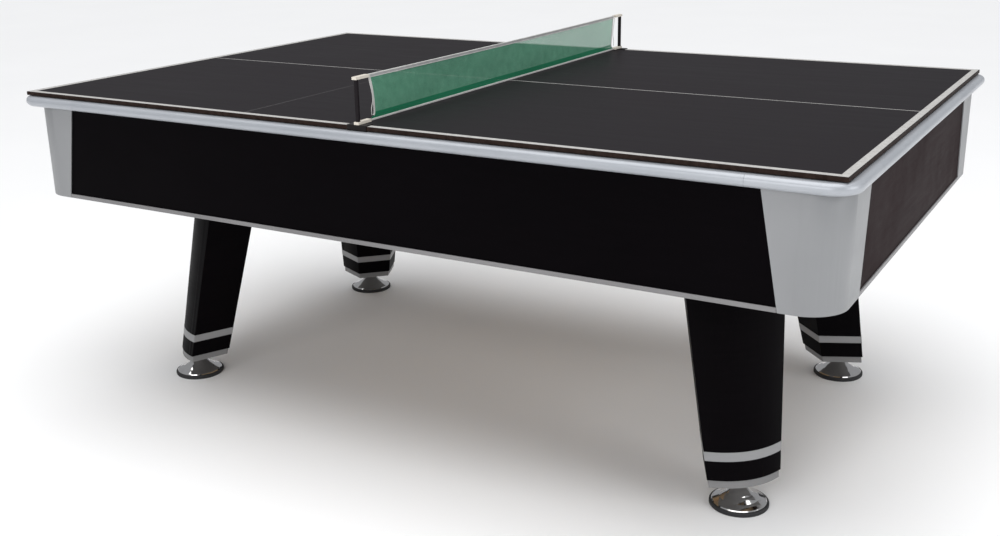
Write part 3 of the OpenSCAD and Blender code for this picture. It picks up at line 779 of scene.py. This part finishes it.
# ---------------------------------------------------------------- finishing the CAD nodes

WELD_REACH = 0.00002
BEVEL_ANGLE = 35.0


def soften_edges(names, width):
    """Welds the CAD nodes' split vertices and rounds their sharp edges a little."""
    for name in names:
        piece = nodes[name]
        weld = piece.modifiers.new("weld", "WELD")
        weld.merge_threshold = WELD_REACH
        bevel = piece.modifiers.new("soft_edges", "BEVEL")
        bevel.width = width
        bevel.segments = 2
        bevel.limit_method = "ANGLE"
        bevel.angle_limit = math.radians(BEVEL_ANGLE)
        bevel.harden_normals = True
        bevel.use_clamp_overlap = True


def paint(material, *names):
    """Gives CAD nodes a material."""
    for name in names:
        mesh = nodes[name].data
        mesh.materials.clear()
        mesh.materials.append(material)


def corner_names(stem):
    """The names of a piece that stands at all four corners."""
    return [f"{stem}_{corner}" for corner in CORNERS]


def finish_nodes():
    """Materials and eased edges for the CAD nodes that show as they are."""
    paint(laminate("apron_foil_long", (0.0012, 0.0008, 0.0012), 1.8), "front_apron", "back_apron")
    # The end aprons share the long aprons' black foil, but their base colour is made lighter and
    # browner as painted light, standing in for the light the ends catch from the right.
    paint(laminate("apron_foil_end_painted_lit", (0.0185, 0.0112, 0.0118), 1.3, 0.008),
          "left_apron", "right_apron")
    paint(laminate("leg_foil", (0.0018, 0.0014, 0.0018), 1.8), *corner_names("leg"))
    paint(moulded_plastic("casting_plastic", (0.222, 0.226, 0.232), (0.25, 0.254, 0.26)),
          *corner_names("corner_casting"))
    paint(moulded_plastic("trim_plastic", (0.165, 0.16, 0.162), (0.205, 0.2, 0.202)),
          "side_bottom_trims", "end_bottom_trims")
    paint(moulded_plastic("band_plastic", (0.21, 0.21, 0.213), (0.255, 0.255, 0.258)),
          "leg_bands")
    paint(moulded_plastic("plinth_plastic", (0.17, 0.168, 0.168), (0.21, 0.208, 0.208)),
          "leg_plinths")
    paint(moulded_plastic("pocket_plastic", (0.012, 0.012, 0.012), (0.02, 0.02, 0.02), 0.5),
          "corner_pockets", "side_pockets")
    paint(moulded_plastic("arm_plastic", (0.58, 0.53, 0.45), (0.68, 0.63, 0.55)),
          "near_net_arms", "far_net_arms")
    rail_dark, rail_light = (0.335, 0.353, 0.382), (0.415, 0.435, 0.463)
    paint(silver_foil("rail_foil_long", rail_dark, rail_light, "x"), "front_rail", "back_rail")
    paint(silver_foil("rail_foil_end", rail_dark, rail_light, "y"), "left_rail", "right_rail")
    paint(silver_foil("rail_corner_plastic", (0.36, 0.378, 0.408), (0.42, 0.438, 0.466), "corner"),
          *corner_names("rail_corner"))
    paint(raw_board("bed_particle_board", (0.3, 0.2, 0.11), (0.5, 0.38, 0.24)),
          "bed_board", "leg_plates")
    for name, along, node in (("beam_wood", "x", "bed_beams"),
                              ("member_wood", "y", "cross_members"),
                              ("post_wood", "z", "corner_posts")):
        paint(sawn_wood(name, (0.42, 0.27, 0.14), (0.6, 0.44, 0.27), along), node)
    paint(polished_metal("foot_chrome", (0.7, 0.69, 0.68), 0.05, 0.12), *corner_names("foot_screw"))
    paint(polished_metal("zinc_plate", (0.66, 0.66, 0.63), 0.28, 0.15), "leg_bolts", "foot_inserts")
    paint(soft_rubber("foot_rubber", (0.012, 0.012, 0.013)), *corner_names("foot_ring"))
    paint(soft_rubber("pad_foam", (0.03, 0.03, 0.03)), "left_top_pads", "right_top_pads")
    paint(painted_metal("clip_paint", (0.01, 0.0085, 0.0085)), "near_net_clip", "far_net_clip")
    paint(painted_metal("post_paint", (0.006, 0.0045, 0.0055)), "near_net_post", "far_net_post")
    paint(top_paint(), "left_top_plate", "right_top_plate")
    for width, names in ((0.6, ("left_top_plate", "right_top_plate")),
                         (0.8, corner_names("corner_casting")),
                         (0.7, ("side_bottom_trims", "end_bottom_trims")),
                         (0.6, ("front_apron", "back_apron", "left_apron", "right_apron")),
                         (1.2, corner_names("leg") + ["leg_plinths"]),
                         (1.2, ("near_net_arms", "far_net_arms")),
                         (0.4, ("near_net_clip", "far_net_clip"))):
        soften_edges(names, width * MM)


make_camera()
make_studio()
finish_nodes()
make_bed_cloth(cloth("bed_cloth_weave", (0.012, 0.075, 0.035), (0.022, 0.115, 0.055)))
make_cushions(cloth("cushion_cloth_weave", (0.011, 0.07, 0.032), (0.02, 0.108, 0.05)))
make_net(net_mesh_material(), tape_material("white_tape", (0.5, 0.49, 0.47), (0.66, 0.65, 0.63)),
         tape_material("grey_tape", (0.33, 0.33, 0.33), (0.44, 0.43, 0.43)))
